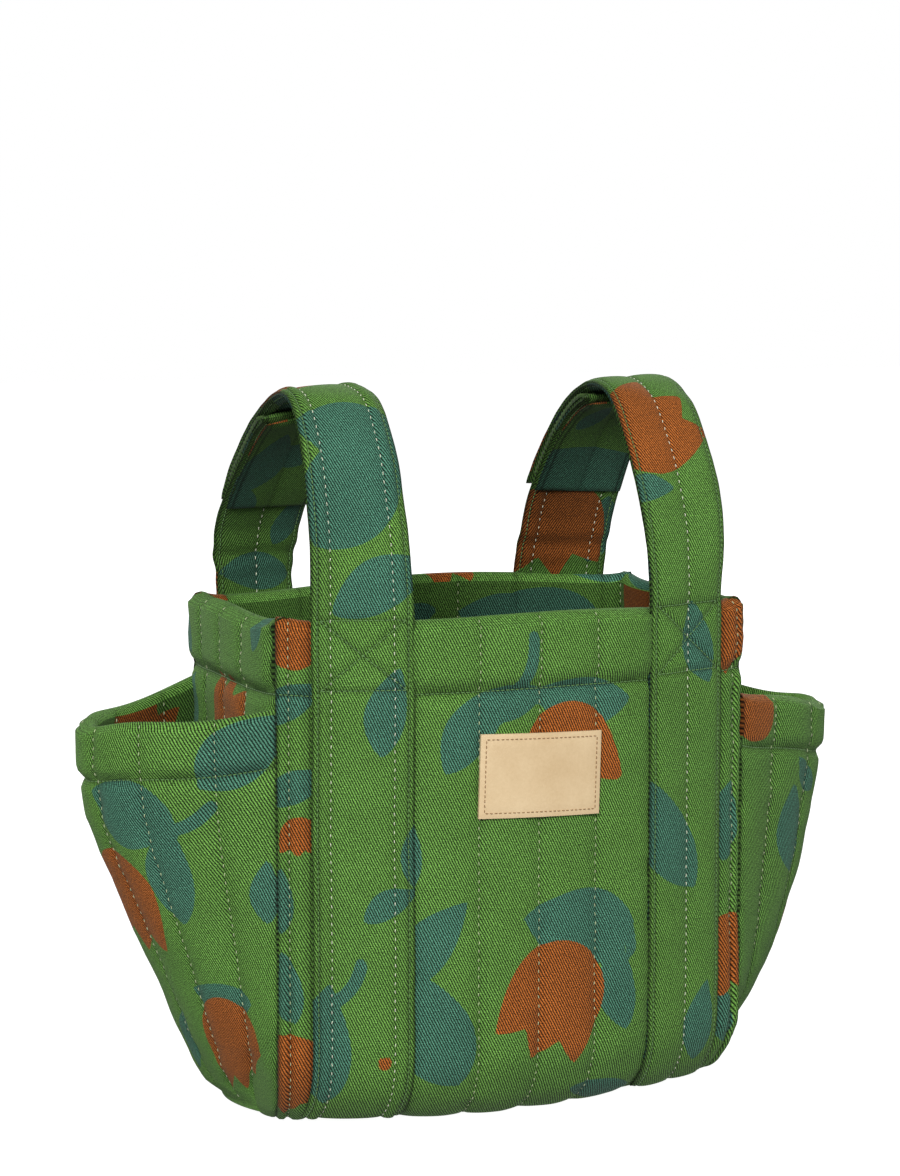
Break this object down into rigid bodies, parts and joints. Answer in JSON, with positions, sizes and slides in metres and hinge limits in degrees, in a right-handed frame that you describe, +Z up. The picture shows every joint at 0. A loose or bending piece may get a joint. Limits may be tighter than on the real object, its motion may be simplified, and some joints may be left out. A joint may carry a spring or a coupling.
{
  "type": "fruit picking bag",
  "caption": "Open-topped quilted cloth picking bag with a standing hook-and-loop strap loop on each half, a slanted pocket on each side and a blank leather label.",
  "frame": {"origin": "on the surface that the bag stands on, under the middle of the body", "axes": "+Z up; +X along the front panel's width, from one side pocket to the other; the front panel with the label faces -Y"},
  "size_m": [0.4124, 0.1819, 0.3601],
  "materials": {
    "printed_cloth": "green cotton twill with a leaf and tulip print",
    "printed_lining": "the same printed cotton twill, seen from the inside",
    "wadding": "soft needled wadding",
    "hem_cloth": "green cotton twill, folded and topstitched",
    "strap_cloth": "printed cotton twill, quilted",
    "hook_tape": "woven nylon with fine hooks",
    "loop_tape": "brushed nylon loops",
    "leather": "undyed vegetable-tanned leather",
    "box_thread": "green polyester thread",
    "label_thread": "natural polyester thread"
  },
  "bodies": {
    "root": {"front_outer": "printed_cloth", "front_wadding": "wadding", "front_lining": "printed_lining", "back_outer": "printed_cloth", "back_wadding": "wadding", "back_lining": "printed_lining", "side_right_outer": "printed_cloth", "side_right_wadding": "wadding", "side_right_lining": "printed_lining", "side_left_outer": "printed_cloth", "side_left_wadding": "wadding", "side_left_lining": "printed_lining", "base_outer": "printed_cloth", "base_wadding": "wadding", "base_lining": "printed_lining", "rim_facing": "hem_cloth", "front_band_right": "strap_cloth", "back_band_right": "strap_cloth", "front_box_thread_right": "box_thread", "back_box_thread_right": "box_thread", "pocket_right_outer": "printed_cloth", "pocket_right_wadding": "wadding", "pocket_right_lining": "printed_lining", "pocket_right_facing": "hem_cloth", "front_band_left": "strap_cloth", "back_band_left": "strap_cloth", "front_box_thread_left": "box_thread", "back_box_thread_left": "box_thread", "pocket_left_outer": "printed_cloth", "pocket_left_wadding": "wadding", "pocket_left_lining": "printed_lining", "pocket_left_facing": "hem_cloth", "label": "leather", "label_thread": "label_thread"},
    "front_strap_right": {"front_strap_cover_right": "strap_cloth", "front_strap_wadding_right": "wadding"},
    "end_flap_right": {"end_flap_cover_right": "strap_cloth", "end_flap_wadding_right": "wadding", "loop_tape_right": "loop_tape"},
    "back_strap_right": {"back_strap_cover_right": "strap_cloth", "back_strap_wadding_right": "wadding", "back_strap_facing_right": "strap_cloth", "hook_tape_right": "hook_tape"},
    "front_strap_left": {"front_strap_cover_left": "strap_cloth", "front_strap_wadding_left": "wadding"},
    "end_flap_left": {"end_flap_cover_left": "strap_cloth", "end_flap_wadding_left": "wadding", "loop_tape_left": "loop_tape"},
    "back_strap_left": {"back_strap_cover_left": "strap_cloth", "back_strap_wadding_left": "wadding", "back_strap_facing_left": "strap_cloth", "hook_tape_left": "hook_tape"}
  },
  "joints": [
    {"name": "front_strap_fold_right", "type": "hinge", "parent": "root", "child": "front_strap_right", "pos_m": [0, -0.09, 0.2505], "axis": [1, 0, 0], "range_deg": [0, 100]},
    {"name": "end_flap_peel_right", "type": "hinge", "parent": "front_strap_right", "child": "end_flap_right", "pos_m": [0, -0.01, 0.36], "axis": [1, 0, 0], "range_deg": [0, 60]},
    {"name": "back_strap_fold_right", "type": "hinge", "parent": "root", "child": "back_strap_right", "pos_m": [0, 0.066, 0.2505], "axis": [1, 0, 0], "range_deg": [0, 45]},
    {"name": "front_strap_fold_left", "type": "hinge", "parent": "root", "child": "front_strap_left", "pos_m": [0, -0.09, 0.2505], "axis": [1, 0, 0], "range_deg": [0, 100]},
    {"name": "end_flap_peel_left", "type": "hinge", "parent": "front_strap_left", "child": "end_flap_left", "pos_m": [0, -0.01, 0.36], "axis": [1, 0, 0], "range_deg": [0, 60]},
    {"name": "back_strap_fold_left", "type": "hinge", "parent": "root", "child": "back_strap_left", "pos_m": [0, 0.066, 0.2505], "axis": [1, 0, 0], "range_deg": [0, 45]}
  ]
}
